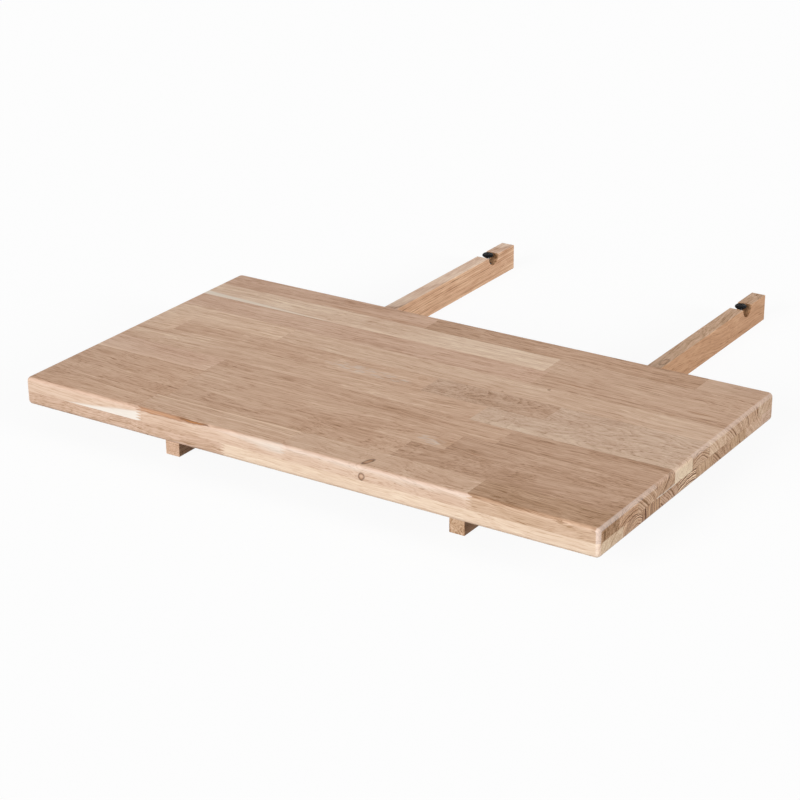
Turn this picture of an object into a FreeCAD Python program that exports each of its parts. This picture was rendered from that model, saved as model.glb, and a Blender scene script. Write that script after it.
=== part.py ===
# Table extension leaf: a two-layer oak panel on two bars that project past its back edge.
# Each layer is made of rows of finger-jointed staves. Near its far end each bar has a half-round
# notch, with a levelling screw that bears against the underside of the table top.
# Millimetres, +Z up, +X along the leaf, +Y from the leaf's front edge to the bars' far ends.
# The origin is at floor level, under the middle of the part's outline.

import FreeCAD, Part
import os

import Sketcher
from BOPTools import SplitFeatures

os.makedirs("parts", exist_ok=True)
doc = FreeCAD.newDocument("extension_leaf")
vector = FreeCAD.Vector

# Driving sizes in millimetres
SIZES = {
    "leaf_length": (900, "leaf along X"),
    "leaf_depth": (500, "leaf along Y"),
    "layer_thickness": (20, "one of the leaf's two layers"),
    "corner_round": (7, "radius on the leaf's four upright edges"),
    "edge_round": (6, "radius on the edges round the leaf's top and bottom"),
    "bottom_stagger": (12, "offset of the bottom layer's glue lines from the top layer's"),
    "finger_length": (10, "fingers along X, where two staves meet"),
    "bar_width": (23, "bar along X"),
    "bar_height": (41, "bar along Z"),
    "bar_length": (904, "bar along Y"),
    "bar_spacing": (454, "between the bars' middles"),
    "bar_setback": (40, "from the leaf's front edge to the bars' front ends"),
    "bar_ease": (1, "radius on the bars' edges"),
    "notch_radius": (15, "half-round notch across the bar's top"),
    "notch_from_end": (66.5, "from the bar's far end to the notch's middle"),
    "head_diameter": (18, "levelling screw's round head"),
    "head_thickness": (6, "head along Z"),
    "head_proud": (2.6, "head's top above the bar's top"),
    "head_chamfer": (1.8, "chamfer round the head's top"),
    "slope_width": (3, "slope round the head's underside, along its radius"),
    "slope_height": (2.4, "slope round the head's underside, along Z"),
    "rim_width": (3.2, "raised rim on the head's top, with its chamfer"),
    "dish_depth": (0.7, "dish between the rim and the hub"),
    "hub_diameter": (8, "hub in the middle of the head's top"),
    "cross_span": (6, "head's cross recess from arm end to arm end"),
    "cross_width": (1.6, "arm of the head's cross recess"),
    "cross_depth": (1.2, "head's cross recess"),
    "grip_radius": (0.9, "scallop round the head's rim"),
    "grip_depth": (0.45, "how far a scallop cuts into the rim"),
    "stud_diameter": (6, "levelling screw's thread"),
    "stud_length": (24, "stud below the head"),
    "stud_socket": (3, "stud inside the head"),
    "stud_chamfer": (1, "chamfer at the stud's tip"),
    "stud_drop": (8, "how far the levelling screw winds down"),
    "insert_diameter": (9, "threaded insert's body"),
    "insert_length": (13, "threaded insert's body below its flange"),
    "flange_diameter": (13, "threaded insert's flange"),
    "flange_thickness": (1.5, "threaded insert's flange"),
    "screw_diameter": (5, "wood screw's thread"),
    "screw_length": (45, "wood screw under its head"),
    "screw_tip": (5, "wood screw's point"),
    "screw_head_diameter": (9.5, "wood screw's pan head"),
    "screw_head_height": (3.4, "wood screw's pan head"),
    "drive_span": (4.6, "wood screw's cross recess from arm end to arm end"),
    "drive_width": (0.9, "arm of a wood screw's cross recess"),
    "drive_depth": (1.7, "wood screw's cross recess"),
    "screw_grip": (28, "bar's wood between the washer and the leaf"),
    "screw_first": (40, "from the bar's front end to the first screw"),
    "screw_last": (46, "from the leaf's back edge to the last screw"),
    "slot_travel": (4, "room for the leaf to swell and shrink at the outer screws"),
    "washer_diameter": (12, "washer under a screw head"),
    "washer_thickness": (1, "washer under a screw head"),
    "running_clearance": (0.05, "round a turning or threaded fit, on the radius"),
    "hole_clearance": (0.5, "round a screw or washer in its hole, on the radius"),
    "end_gap": (0.1, "between the stud's top and the head's socket"),
    "tip_room": (1, "past the tip of a screw or stud in its hole"),
    "trim_allowance": (2, "stave rows before the glued panel is trimmed and moulded"),
}

# Counts
ROWS = 10
FINGERS = 5
GRIPS = 24
SCREWS = 3

# Where staves meet in each row, front row first, as shares of the leaf's length
TOP_JOINTS = (
    (0.222, 0.487, 0.798),
    (0.237, 0.640),
    (0.227, 0.695),
    (0.224, 0.747),
    (0.669,),
    (0.071, 0.549, 0.763),
    (0.243,),
    (0.678,),
    (0.669,),
    (0.416, 0.900),
)
BOTTOM_JOINTS = (
    (0.378,),
    (0.210, 0.620),
    (0.455,),
    (0.300, 0.790),
    (0.560,),
    (0.175, 0.690),
    (0.420,),
    (0.255, 0.735),
    (0.510,),
    (0.330, 0.840),
)

sheet = doc.addObject("Spreadsheet::Sheet", "sizes")
for line, (alias, (size, meaning)) in enumerate(SIZES.items(), start=1):
    sheet.set(f"A{line}", str(size))
    sheet.set(f"B{line}", meaning)
    sheet.setAlias(f"A{line}", alias)
doc.recompute()

# Heights and places that several pieces share
FRONT = "(-(sizes.bar_setback + sizes.bar_length) / 2)"
BAR_FRONT = f"({FRONT} + sizes.bar_setback)"
NOTCH_Y = "(sizes.bar_length - sizes.notch_from_end)"
NOTCH_FLOOR = "(sizes.bar_height - sizes.notch_radius)"
INSERT_FOOT = f"({NOTCH_FLOOR} - sizes.flange_thickness - sizes.insert_length)"
HEAD_FOOT = "(sizes.bar_height + sizes.head_proud - sizes.head_thickness)"
STUD_FOOT = f"({HEAD_FOOT} - sizes.stud_length)"
WASHER_SEAT = "(sizes.bar_height - sizes.screw_grip)"
SCREW_SEAT = f"({WASHER_SEAT} - sizes.washer_thickness)"
SCREW_BITE = "(sizes.screw_length - sizes.screw_grip - sizes.washer_thickness)"
ROW_WIDTH = f"(sizes.leaf_depth / {ROWS})"
LAST_SCREW = "(sizes.leaf_depth - sizes.bar_setback - sizes.screw_last)"
SCREW_STEP = f"(({LAST_SCREW} - sizes.screw_first) / {SCREWS - 1})"
SCREW_PLACES = [f"(sizes.screw_first + {index} * {SCREW_STEP})" for index in range(SCREWS)]


def number(expression):
    """Value of an expression in the document's own units."""
    return float(sheet.evalExpression(str(expression)))


def bind(item, bindings):
    """Tie properties of a document object to expressions."""
    for name, expression in bindings.items():
        item.setExpression(name, str(expression))


def place(item, x, y, z):
    """Tie an object's position to three expressions."""
    bind(item, {"Placement.Base.x": x, "Placement.Base.y": y, "Placement.Base.z": z})


# Sketch helpers

def new_body(label):
    body = doc.addObject("PartDesign::Body", label)
    body.Label = label
    return body


def new_sketch(body, name, role, height="0"):
    """Sketch on one of the body's origin planes, raised along the plane's normal."""
    plane = next(item for item in body.Origin.OriginFeatures if item.Role == role)
    sketch = body.newObject("Sketcher::SketchObject", name)
    sketch.AttachmentSupport = [(plane, "")]
    sketch.MapMode = "FlatFace"
    sketch.setExpression("AttachmentOffset.Base.z", height)
    return sketch


def fix_point(sketch, geometry, end, x, y):
    """Tie a point of a sketch to a pair of expressions, measured from the sketch's origin."""
    for kind, axis, expression in (("DistanceX", -2, x), ("DistanceY", -1, y)):
        if expression == "0":
            sketch.addConstraint(Sketcher.Constraint("PointOnObject", geometry, end, axis))
        else:
            constraint = Sketcher.Constraint(kind, -1, 1, geometry, end, number(expression))
            index = sketch.addConstraint(constraint)
            sketch.setExpression(f"Constraints[{index}]", expression)


def fix_radius(sketch, geometry, radius):
    index = sketch.addConstraint(Sketcher.Constraint("Radius", geometry, number(radius)))
    sketch.setExpression(f"Constraints[{index}]", radius)


def draw_polygon(sketch, corners):
    """Closed outline through corners given as pairs of expressions."""
    points = [vector(number(x), number(y), 0) for x, y in corners]
    first = sketch.GeometryCount
    for start, end in zip(points, points[1:] + points[:1]):
        sketch.addGeometry(Part.LineSegment(start, end), False)
    for index, (x, y) in enumerate(corners):
        before = first + (index - 1) % len(corners)
        sketch.addConstraint(Sketcher.Constraint("Coincident", before, 2, first + index, 1))
        fix_point(sketch, first + index, 1, x, y)


def draw_circle(sketch, x, y, radius):
    circle = Part.Circle(vector(number(x), number(y), 0), vector(0, 0, 1), number(radius))
    index = sketch.addGeometry(circle, False)
    fix_point(sketch, index, 3, x, y)
    fix_radius(sketch, index, radius)


def draw_slot(sketch, y, travel, radius):
    """Round-ended slot along the sketch's Y axis, centred on X = 0."""
    high = vector(0, number(f"{y} + {travel} / 2"), 0)
    low = vector(0, number(f"{y} - {travel} / 2"), 0)
    side = vector(number(radius), 0, 0)
    up = vector(0, number(radius), 0)
    top = sketch.addGeometry(Part.Arc(high + side, high + up, high - side), False)
    left = sketch.addGeometry(Part.LineSegment(high - side, low - side), False)
    bottom = sketch.addGeometry(Part.Arc(low - side, low - up, low + side), False)
    right = sketch.addGeometry(Part.LineSegment(low + side, high + side), False)
    for before, after in ((top, left), (left, bottom), (bottom, right), (right, top)):
        sketch.addConstraint(Sketcher.Constraint("Tangent", before, 2, after, 1))
    fix_point(sketch, top, 3, "0", f"{y} + {travel} / 2")
    fix_point(sketch, bottom, 3, "0", f"{y} - {travel} / 2")
    fix_radius(sketch, top, radius)


def cross_corners(span, width):
    """Corners of a plus sign, for a cross recess."""
    out = f"{span} / 2"
    near = f"{width} / 2"
    quarter = [(out, near), (near, near), (near, out)]
    corners = []
    for sign_x, sign_y in (("", ""), ("-", ""), ("-", "-"), ("", "-")):
        arm = [(f"{sign_x}{x}", f"{sign_y}{y}") for x, y in quarter]
        corners += arm if sign_x == sign_y else arm[::-1]
    return corners


# Feature helpers

def revolve(body, name, corners):
    """Solid of revolution about Z from corners given as radius and height."""
    sketch = new_sketch(body, name + "_profile", "XZ_Plane")
    draw_polygon(sketch, corners)
    revolution = body.newObject("PartDesign::Revolution", name)
    revolution.Profile = sketch
    revolution.ReferenceAxis = (sketch, ["V_Axis"])
    revolution.Angle = 360
    doc.recompute()
    return revolution


def pocket(body, name, sketch, depth=None, upward=False, both_ways=False):
    """Cut a sketch into the body, right through where no depth is given."""
    before = body.Shape.Volume
    cut = body.newObject("PartDesign::Pocket", name)
    cut.Profile = sketch
    cut.Reversed = upward
    cut.Midplane = both_ways
    if depth is None:
        cut.Type = "ThroughAll"
    else:
        cut.setExpression("Length", depth)
    doc.recompute()
    if body.Shape.Volume >= before:
        raise RuntimeError(f"{name} cuts nothing from {body.Label}")
    return cut


# Support bars

def draw_screw_holes(sketch, radius):
    """A round hole at the middle screw, and slots along the bar at the others."""
    for index, y in enumerate(SCREW_PLACES):
        if index == SCREWS // 2:
            draw_circle(sketch, "0", y, radius)
        else:
            draw_slot(sketch, y, "sizes.slot_travel", radius)


def make_bar(label, x):
    body = new_body(label)
    section = new_sketch(body, label + "_section", "XZ_Plane")
    half = "sizes.bar_width / 2"
    draw_polygon(section, [
        ("-" + half, "0"),
        (half, "0"),
        (half, "sizes.bar_height"),
        ("-" + half, "sizes.bar_height"),
    ])
    pad = body.newObject("PartDesign::Pad", label + "_pad")
    pad.Profile = section
    pad.Reversed = True
    pad.setExpression("Length", "sizes.bar_length")
    doc.recompute()

    eased = body.newObject("PartDesign::Fillet", label + "_eased")
    eased.Base = (pad, [f"Edge{index + 1}" for index in range(len(pad.Shape.Edges))])
    eased.setExpression("Radius", "sizes.bar_ease")
    doc.recompute()

    notch = new_sketch(body, label + "_notch_outline", "YZ_Plane")
    draw_circle(notch, NOTCH_Y, "sizes.bar_height", "sizes.notch_radius")
    pocket(body, label + "_notch", notch, both_ways=True)

    seats = (
        ("flange_seat", "sizes.flange_diameter / 2 + sizes.running_clearance",
         "sizes.notch_radius + sizes.flange_thickness"),
        ("insert_hole", "sizes.insert_diameter / 2 + sizes.running_clearance",
         f"sizes.bar_height - {INSERT_FOOT}"),
        ("stud_hole", "sizes.stud_diameter / 2 + sizes.hole_clearance",
         f"sizes.bar_height - {STUD_FOOT} + sizes.stud_drop + sizes.tip_room"),
    )
    for name, radius, depth in seats:
        sketch = new_sketch(body, f"{label}_{name}_outline", "XY_Plane", "sizes.bar_height")
        draw_circle(sketch, "0", NOTCH_Y, radius)
        pocket(body, f"{label}_{name}", sketch, depth)

    shanks = new_sketch(body, label + "_screw_holes_outline", "XY_Plane")
    draw_screw_holes(shanks, "sizes.screw_diameter / 2 + sizes.hole_clearance")
    pocket(body, label + "_screw_holes", shanks, upward=True)
    sinks = new_sketch(body, label + "_counterbores_outline", "XY_Plane")
    draw_screw_holes(sinks, "sizes.washer_diameter / 2 + sizes.hole_clearance")
    pocket(body, label + "_counterbores", sinks, WASHER_SEAT, upward=True)
    place(body, x, BAR_FRONT, "0")
    return body


# Levelling screws

def make_head(label, x):
    body = new_body(label)
    rim = "sizes.head_diameter / 2"
    top = "sizes.head_thickness"
    chamfer = "sizes.head_chamfer"
    dish = "sizes.head_thickness - sizes.dish_depth"
    socket = "sizes.stud_diameter / 2 + sizes.running_clearance"
    revolve(body, label + "_disc", [
        (socket, "0"),
        (f"{rim} - sizes.slope_width", "0"),
        (rim, "sizes.slope_height"),
        (rim, f"{top} - {chamfer}"),
        (f"{rim} - {chamfer}", top),
        (f"{rim} - sizes.rim_width", top),
        (f"{rim} - sizes.rim_width", dish),
        ("sizes.hub_diameter / 2", dish),
        ("sizes.hub_diameter / 2", top),
        ("0", top),
        ("0", "sizes.stud_socket"),
        (socket, "sizes.stud_socket"),
    ])
    recess = new_sketch(body, label + "_recess_outline", "XY_Plane", top)
    draw_polygon(recess, cross_corners("sizes.cross_span", "sizes.cross_width"))
    pocket(body, label + "_recess", recess, "sizes.cross_depth")
    scallop = new_sketch(body, label + "_grip_outline", "XY_Plane")
    draw_circle(scallop, f"{rim} + sizes.grip_radius - sizes.grip_depth", "0", "sizes.grip_radius")
    grip = pocket(body, label + "_grip", scallop, upward=True)
    grips = body.newObject("PartDesign::PolarPattern", label + "_grips")
    grips.Originals = [grip]
    grips.Axis = (scallop, ["N_Axis"])
    grips.Angle = 360
    grips.Occurrences = GRIPS
    body.Tip = grips
    place(body, x, f"{BAR_FRONT} + {NOTCH_Y}", HEAD_FOOT)
    return body


def make_stud(label, x):
    body = new_body(label)
    length = "sizes.stud_length + sizes.stud_socket - sizes.end_gap"
    revolve(body, label + "_rod", [
        ("0", "0"),
        ("sizes.stud_diameter / 2 - sizes.stud_chamfer", "0"),
        ("sizes.stud_diameter / 2", "sizes.stud_chamfer"),
        ("sizes.stud_diameter / 2", length),
        ("0", length),
    ])
    place(body, x, f"{BAR_FRONT} + {NOTCH_Y}", STUD_FOOT)
    return body


def make_insert(label, x):
    body = new_body(label)
    bore = "sizes.stud_diameter / 2 + sizes.running_clearance"
    flange_top = "sizes.insert_length + sizes.flange_thickness"
    revolve(body, label + "_sleeve", [
        (bore, "0"),
        ("sizes.insert_diameter / 2", "0"),
        ("sizes.insert_diameter / 2", "sizes.insert_length"),
        ("sizes.flange_diameter / 2", "sizes.insert_length"),
        ("sizes.flange_diameter / 2", flange_top),
        (bore, flange_top),
    ])
    place(body, x, f"{BAR_FRONT} + {NOTCH_Y}", INSERT_FOOT)
    return body


# Wood screws and washers

def make_group(label, pieces):
    """Identical pieces as one named group of separate solids."""
    group = doc.addObject("Part::Compound", label)
    group.Label = label
    group.Links = pieces
    return group


def make_screws(label, x):
    screws = []
    head = "sizes.screw_head_diameter / 2"
    shank = "sizes.screw_diameter / 2"
    for index, y in enumerate(SCREW_PLACES, start=1):
        body = new_body(f"{label}_{index}")
        revolve(body, f"{label}_{index}_turned", [
            ("0", "-sizes.screw_head_height"),
            (f"{head} / 2", "-sizes.screw_head_height"),
            (head, "-sizes.screw_head_height / 2"),
            (head, "0"),
            (shank, "0"),
            (shank, "sizes.screw_length - sizes.screw_tip"),
            ("0", "sizes.screw_length"),
        ])
        foot = "-sizes.screw_head_height"
        recess = new_sketch(body, f"{label}_{index}_recess_outline", "XY_Plane", foot)
        draw_polygon(recess, cross_corners("sizes.drive_span", "sizes.drive_width"))
        pocket(body, f"{label}_{index}_recess", recess, "sizes.drive_depth", upward=True)
        place(body, x, f"{BAR_FRONT} + {y}", SCREW_SEAT)
        screws.append(body)
    return make_group(label, screws)


def make_ring(label, x, y, z, outer, inner, height):
    """Flat ring, as a cylinder cut by another."""
    solids = []
    for part, radius in (("outside", outer), ("bore", inner)):
        cylinder = doc.addObject("Part::Cylinder", f"{label}_{part}")
        bind(cylinder, {"Radius": radius, "Height": height})
        place(cylinder, x, y, z)
        solids.append(cylinder)
    ring = doc.addObject("Part::Cut", label)
    ring.Base, ring.Tool = solids
    return ring


def make_washers(label, x):
    outer = "sizes.washer_diameter / 2"
    inner = "sizes.screw_diameter / 2 + sizes.running_clearance"
    washers = []
    for index, y in enumerate(SCREW_PLACES, start=1):
        height = "sizes.washer_thickness"
        washers.append(
            make_ring(f"{label}_{index}", x, f"{BAR_FRONT} + {y}", SCREW_SEAT, outer, inner, height)
        )
    return make_group(label, washers)


# Leaf: moulded panel, drilled for the screws, then sawn apart into stave rows

def round_edges(body, name, base, upright, radius):
    """Fillet a block's upright edges, or else those round its top and bottom."""
    names = []
    for index, edge in enumerate(base.Shape.Edges, start=1):
        rise = abs(edge.Vertexes[-1].Z - edge.Vertexes[0].Z)
        if (rise > number("sizes.layer_thickness")) == upright:
            names.append(f"Edge{index}")
    fillet = body.newObject("PartDesign::Fillet", name)
    fillet.Base = (base, names)
    fillet.setExpression("Radius", radius)
    doc.recompute()
    return fillet


def make_panel():
    """The whole leaf as one rounded block, only used to shape the stave rows."""
    body = new_body("leaf_outline")
    outline = new_sketch(body, "leaf_plan", "XY_Plane", "sizes.bar_height")
    half = "sizes.leaf_length / 2"
    draw_polygon(outline, [
        ("-" + half, FRONT),
        (half, FRONT),
        (half, f"{FRONT} + sizes.leaf_depth"),
        ("-" + half, f"{FRONT} + sizes.leaf_depth"),
    ])
    pad = body.newObject("PartDesign::Pad", "leaf_pad")
    pad.Profile = outline
    pad.setExpression("Length", "2 * sizes.layer_thickness")
    doc.recompute()
    corners = round_edges(body, "leaf_corners", pad, True, "sizes.corner_round")
    round_edges(body, "leaf_rounded", corners, False, "sizes.edge_round")

    pilots = []
    for side, x in BAR_SIDES.items():
        for index, y in enumerate(SCREW_PLACES, start=1):
            pilot = doc.addObject("Part::Cylinder", f"{side}_pilot_{index}")
            radius = "sizes.screw_diameter / 2 + sizes.running_clearance"
            bind(pilot, {"Radius": radius, "Height": f"{SCREW_BITE} + sizes.tip_room"})
            place(pilot, x, f"{BAR_FRONT} + {y}", "sizes.bar_height")
            pilots.append(pilot)
    drilled = doc.addObject("Part::Cut", "drilled_leaf")
    drilled.Base = body
    drilled.Tool = make_group("pilot_holes", pilots)
    doc.recompute()
    return drilled


def finger_face(x, y0, y1, z0, z1):
    """Zigzag surface between two staves: fingers along X, straight across the row."""
    reach = number("sizes.finger_length") / 2
    allowance = number("sizes.trim_allowance")
    step = (z1 - z0) / (2 * FINGERS)
    points = [vector(x - reach, y0, z0 - allowance)]
    for index in range(2 * FINGERS + 1):
        side = 1 if index % 2 else -1
        points.append(vector(x + side * reach, y0, z0 + index * step))
    points.append(vector(x - reach, y0, z1 + allowance))
    return Part.makePolygon(points).extrude(vector(0, y1 - y0, 0))


def make_row(label, panel, back_edges, row, z0, z1, joints):
    """One row of staves, taken out of the moulded panel and split at its finger joints."""
    allowance = "sizes.trim_allowance"
    first = row == 0
    last = row == ROWS - 1
    y0 = f"({FRONT} - {allowance})" if first else f"({FRONT} + {back_edges[row - 1]})"
    y1 = f"({FRONT} + sizes.leaf_depth + {allowance})" if last else f"({FRONT} + {back_edges[row]})"
    strip = doc.addObject("Part::Box", label + "_strip")
    bind(strip, {
        "Length": f"sizes.leaf_length + 2 * {allowance}",
        "Width": f"{y1} - {y0}",
        "Height": f"{z1} - {z0}",
    })
    place(strip, f"-sizes.leaf_length / 2 - {allowance}", y0, z0)
    moulded = doc.addObject("Part::Common", label + "_moulded")
    moulded.Base = panel
    moulded.Tool = strip

    fingers = doc.addObject("Part::Feature", label + "_fingers")
    length = number("sizes.leaf_length")
    low, high = number(y0) - number(allowance), number(y1) + number(allowance)
    faces = [
        finger_face((share - 0.5) * length, low, high, number(z0), number(z1)) for share in joints
    ]
    fingers.Shape = Part.makeCompound(faces)
    staves = SplitFeatures.makeSlice(name=label)
    staves.Label = label
    staves.Base = moulded
    staves.Tools = [fingers]
    staves.Mode = "Split"
    return staves


def make_layer(name, panel, stagger, z0, z1, joints):
    back_edges = [f"({row + 1} * {ROW_WIDTH} + {stagger})" for row in range(ROWS)]
    return [
        make_row(f"{name}_stave_row_{row + 1:02d}", panel, back_edges, row, z0, z1, joints[row])
        for row in range(ROWS)
    ]


BAR_SIDES = {"left": "-sizes.bar_spacing / 2", "right": "sizes.bar_spacing / 2"}
BOTTOM = "sizes.bar_height"
MIDDLE = "(sizes.bar_height + sizes.layer_thickness)"
TOP = "(sizes.bar_height + 2 * sizes.layer_thickness)"

panel = make_panel()
nodes = make_layer("top", panel, "0", MIDDLE, TOP, TOP_JOINTS)
nodes += make_layer("bottom", panel, "sizes.bottom_stagger", BOTTOM, MIDDLE, BOTTOM_JOINTS)
for side, x in BAR_SIDES.items():
    nodes += [
        make_bar(f"{side}_bar", x),
        make_head(f"{side}_levelling_head", x),
        make_stud(f"{side}_levelling_stud", x),
        make_insert(f"{side}_threaded_insert", x),
        make_screws(f"{side}_bar_screws", x),
        make_washers(f"{side}_bar_washers", x),
    ]
doc.recompute()

# Nothing is written unless every object and every sub-part is sound
for item in doc.Objects:
    if "Invalid" in item.State or "Error" in item.State:
        raise RuntimeError(f"{item.Label} did not build: {item.State}")
for node in nodes:
    if node.Shape.isNull() or not node.Shape.isValid() or not node.Shape.Solids:
        raise RuntimeError(f"{node.Label} is not a sound solid")

for node in nodes:
    node.Shape.exportStep(f"parts/{node.Label}.step")
    box = node.Shape.BoundBox
    print(f"{node.Label}: {len(node.Shape.Solids)} solids, {node.Shape.Volume:.0f} mm3,"
          f" x {box.XMin:.1f} to {box.XMax:.1f}, y {box.YMin:.1f} to {box.YMax:.1f},"
          f" z {box.ZMin:.1f} to {box.ZMax:.1f}")
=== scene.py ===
# %% [markdown]
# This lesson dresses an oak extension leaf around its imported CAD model.
# The leaf is a thick panel glued up from two layers of finger-jointed oak staves. It lies on two oak
# bars that project past its back edge, each with a black levelling screw near its far end.
# The CAD model gives every place and size, so the frame is loaded first and nothing in it is moved.

# %% Load the frame
import math
import random
from functools import partial

import bpy
from mathutils import Matrix, Vector


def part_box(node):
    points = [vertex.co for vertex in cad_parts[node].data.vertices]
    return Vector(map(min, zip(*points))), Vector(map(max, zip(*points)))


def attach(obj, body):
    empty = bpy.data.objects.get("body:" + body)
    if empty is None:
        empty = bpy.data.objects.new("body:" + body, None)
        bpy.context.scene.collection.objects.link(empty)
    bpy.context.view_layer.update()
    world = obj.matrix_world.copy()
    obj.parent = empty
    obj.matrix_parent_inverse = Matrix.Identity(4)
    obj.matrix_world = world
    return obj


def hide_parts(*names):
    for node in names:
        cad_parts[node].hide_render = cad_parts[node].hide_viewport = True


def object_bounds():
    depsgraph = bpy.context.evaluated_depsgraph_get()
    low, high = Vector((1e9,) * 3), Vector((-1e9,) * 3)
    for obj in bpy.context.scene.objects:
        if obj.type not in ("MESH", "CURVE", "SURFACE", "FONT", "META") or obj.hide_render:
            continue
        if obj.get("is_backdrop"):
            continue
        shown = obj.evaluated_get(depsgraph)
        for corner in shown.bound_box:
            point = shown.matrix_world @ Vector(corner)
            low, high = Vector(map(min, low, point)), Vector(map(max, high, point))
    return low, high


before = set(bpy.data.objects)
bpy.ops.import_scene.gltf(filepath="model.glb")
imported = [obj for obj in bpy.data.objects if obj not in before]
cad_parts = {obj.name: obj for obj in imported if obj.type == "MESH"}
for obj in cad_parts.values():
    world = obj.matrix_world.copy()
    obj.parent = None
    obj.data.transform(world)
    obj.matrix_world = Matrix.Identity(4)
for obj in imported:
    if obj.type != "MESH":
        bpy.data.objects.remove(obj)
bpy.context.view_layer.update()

# %% [markdown]
# Sizes are written in millimetres, as a maker thinks of them, and turned into Blender's metres. Colours
# are written as sRGB hex codes and turned into linear light. One function adds a node to any tree and
# fills its inputs, by links or plain values. Each new tree hands it out bound to itself, under the name
# put, so that a tree reads like a list of steps.

# %% Units, colours and nodes
MM = 0.001
SIDES = ("left", "right")
MATH = "ShaderNodeMath"
VECTOR = "ShaderNodeVectorMath"
SPLIT = "ShaderNodeSeparateXYZ"
JOIN = "ShaderNodeCombineXYZ"
NOISE = "ShaderNodeTexNoise"
RANGE = "ShaderNodeMapRange"
RAMP = "ShaderNodeValToRGB"
MIX = "ShaderNodeMix"
SMOOTH = dict(interpolation_type="SMOOTHSTEP")
RGBA = dict(data_type="RGBA")


def linear(code):
    """An sRGB hex colour as linear red, green, blue and alpha."""
    shares = [int(code[place:place + 2], 16) / 255 for place in (1, 3, 5)]
    light = [s / 12.92 if s <= 0.04045 else ((s + 0.055) / 1.055) ** 2.4 for s in shares]
    return (*light, 1.0)


def add(tree, kind, inputs=None, operation=None, **settings):
    """Add a node. Its inputs are a list, in their order, or are named or numbered.

    An input takes a value, a node (its first output in use) or a pair of node and output.
    """
    node = tree.nodes.new(kind)
    if operation:
        node.operation = operation
    for name, value in settings.items():
        setattr(node, name, value)
    if isinstance(inputs, list):
        inputs = dict(enumerate(inputs))
    for key, value in (inputs or {}).items():
        if isinstance(value, bpy.types.Node):
            output = next(output for output in value.outputs if output.enabled)
            tree.links.new(output, node.inputs[key])
        elif isinstance(value, tuple) and isinstance(value[0], bpy.types.Node):
            tree.links.new(value[0].outputs[value[1]], node.inputs[key])
        else:
            node.inputs[key].default_value = value
    return node


def set_ramp(ramp, stops):
    """Fill a colour ramp from pairs of position and linear colour."""
    elements = ramp.color_ramp.elements
    while len(elements) < len(stops):
        elements.new(1.0)
    for element, (position, colour) in zip(elements, stops):
        element.position = position
        element.color = colour


def new_material(name):
    """An empty material, and the helper that adds nodes to it."""
    material = bpy.data.materials.new(name)
    material.use_nodes = True
    material.node_tree.nodes.clear()
    return material, partial(add, material.node_tree)


def new_object(name, data):
    made = bpy.data.objects.new(name, data)
    bpy.context.scene.collection.objects.link(made)
    return made


print("helpers ready")

# %% [markdown]
# The photograph was taken with a long lens from the front right, about 23 degrees above the leaf.
# The camera is set by its measured place and directions. It has no shift and no depth of field, so that
# it can be moved.

# %% Camera
CAMERA_PLACE = Vector((1554.78, -2606.40, 1261.22)) * MM
CAMERA_LOOK = Vector((-0.50159, 0.77251, -0.38940)).normalized()
CAMERA_RIGHT = Vector((0.84002, 0.54251, -0.00579)).normalized()
SENSOR_WIDTH = 36.0
LENS_LENGTH = 101.132

camera_up = (-CAMERA_LOOK).cross(CAMERA_RIGHT).normalized()
turned = Matrix((CAMERA_RIGHT, camera_up, -CAMERA_LOOK)).transposed().to_4x4()
camera = new_object("camera", bpy.data.cameras.new("camera"))
camera.data.sensor_width = SENSOR_WIDTH
camera.data.lens = LENS_LENGTH
camera.matrix_world = Matrix.Translation(CAMERA_PLACE) @ turned
bpy.context.scene.camera = camera
print("camera at", [round(c, 3) for c in CAMERA_PLACE])

# %% [markdown]
# Oak is drawn as a solid log, not as a picture on a face, because the leaf shows faces, edges and end grain
# of the same staves, and the figure has to run round the corners. A wood texture painted on each face would
# be simpler, but no joint would agree with its edge. Every pattern is noise stretched along the grain.

# %% Colours and patterns of oak
OAK_SHADES = (
    (-0.25, "#F0E3D0"), (0.0, "#E6D2BF"), (0.25, "#D4B9A5"), (0.5, "#C5A590"), (0.75, "#AF8D74"),
    (1.0, "#84603F"), (1.25, "#5C3B22"),
)
SAPWOOD = "#E1D5C6"
GLUE_SIDE_PALE = "#EACFB3"
KNOT_DARK = "#4C2F1B"
STAIN_BROWN = "#9C683A"
SILVER_GRAIN = "#CDC1B7"
PINK_OIL = "#FFF5F1"
STRAW_OIL = "#FFFAE2"
# Rounded edges are sanded paler, and partly this is a painted highlight where they catch the light
SANDED_PALE_AND_HIGHLIGHT = "#D8CBC5"

# How often a pattern repeats along and across the grain, in turns per metre, and its rough size
WANDER = (6.0, 3.0, 3.0)        # the heart's slow bends, 160 mm long
RIPPLE = (22.0, 60.0, 60.0)     # small waves in a ring, 45 mm long
CLOUD = (7.0, 20.0, 20.0)       # soft patches of tone, 50 mm wide
MOTTLE = (18.0, 80.0, 80.0)     # smaller patches, 12 mm wide
STREAK = (4.0, 130.0, 130.0)    # streaks 8 mm wide and 250 mm long
FIBRE = (7.0, 480.0, 480.0)     # fibre bundles 2 mm wide and 140 mm long
PORE = (38.0, 1000.0, 1000.0)   # pores are 0.3 mm wide, drawn at 1 mm so that they show
FLECK = (60.0, 420.0, 420.0)    # silver grain breaks up into flecks 2 mm wide
RAY = (45.0, 110.0, 95.0)       # rays along the grain, outwards, and round the heart (per radian)
SHAKE = (90.0, 90.0, 90.0)      # bends in a knot's outline, 11 mm long
SEED_SPREAD = (53.0, 47.0, 61.0)    # carries each stave to its own part of every pattern
MIDDLE = (0.5, 0.5, 0.5)

# How far a pattern moves what it bends, and how far sapwood takes to fade in
WANDER_SIZE = 30 * MM
RIPPLE_SIZE = 5 * MM
SHAKE_SIZE = 4 * MM
SAP_SIZE = 6 * MM
SAP_FADE = 4 * MM

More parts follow.
